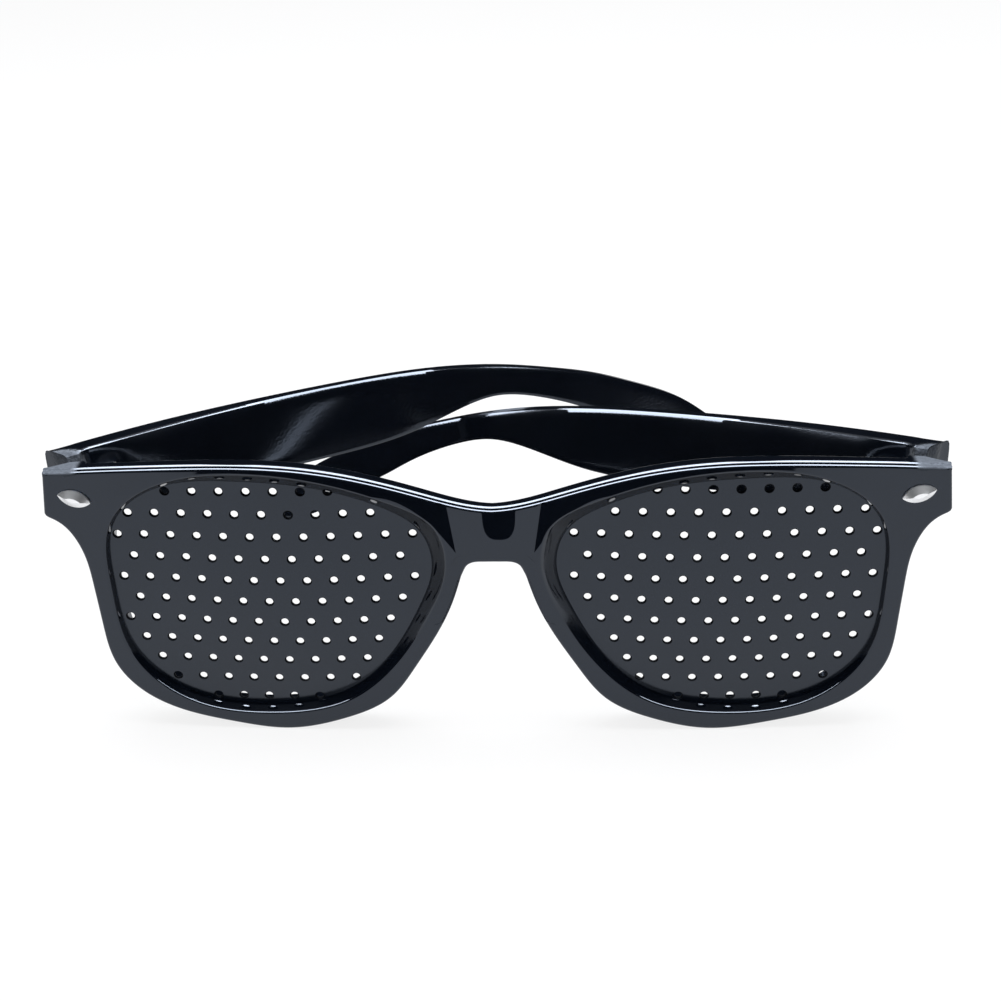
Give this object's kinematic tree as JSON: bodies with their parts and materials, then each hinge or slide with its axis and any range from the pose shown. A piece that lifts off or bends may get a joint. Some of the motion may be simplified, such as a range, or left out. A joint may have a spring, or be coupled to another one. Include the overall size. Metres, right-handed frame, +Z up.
{
  "type": "pinhole glasses",
  "caption": "Pinhole glasses: dark moulded front with domed plates full of pinholes, leaf-shaped metal studs and hinged temples that cross behind.",
  "frame": {"origin": "on the floor, below the middle of the whole object's box as stored, with both temples part folded", "axes": "+Z up, -Y the side that the front faces, +X to the right as seen from in front, which is the wearer's left"},
  "size_m": [0.1458, 0.0928, 0.0496],
  "materials": {
    "frame": "polished injection moulding, dark slate black",
    "lens_plate": "satin to glossy dark plastic sheet",
    "temple": "polished injection moulding, dark slate black",
    "stud": "polished, slightly dulled",
    "hinge_metal": "plain stamped and turned metal"
  },
  "bodies": {
    "front": {"front_frame": "frame", "left_lens_plate": "lens_plate", "right_lens_plate": "lens_plate", "left_stud": "stud", "right_stud": "stud", "left_front_hinge_leaf": "hinge_metal", "right_front_hinge_leaf": "hinge_metal", "left_hinge_screw": "hinge_metal", "right_hinge_screw": "hinge_metal"},
    "left_temple": {"left_temple": "temple", "left_temple_hinge_leaf": "hinge_metal"},
    "right_temple": {"right_temple": "temple", "right_temple_hinge_leaf": "hinge_metal"}
  },
  "joints": [
    {"name": "right_temple_fold", "type": "hinge", "parent": "front", "child": "right_temple", "pos_m": [0.06645, -0.0382, 0.042], "axis": [-0.0209, 0, 0.9998], "range_deg": [-60, 0]},
    {"name": "left_temple_fold", "type": "hinge", "parent": "front", "child": "left_temple", "pos_m": [-0.06615, -0.0382, 0.042], "axis": [-0.0209, 0, 0.9998], "range_deg": [0, 54]}
  ],
  "couplings": [
    {"joint": "left_temple_fold", "follows": "right_temple_fold", "ratio": -0.9}
  ]
}
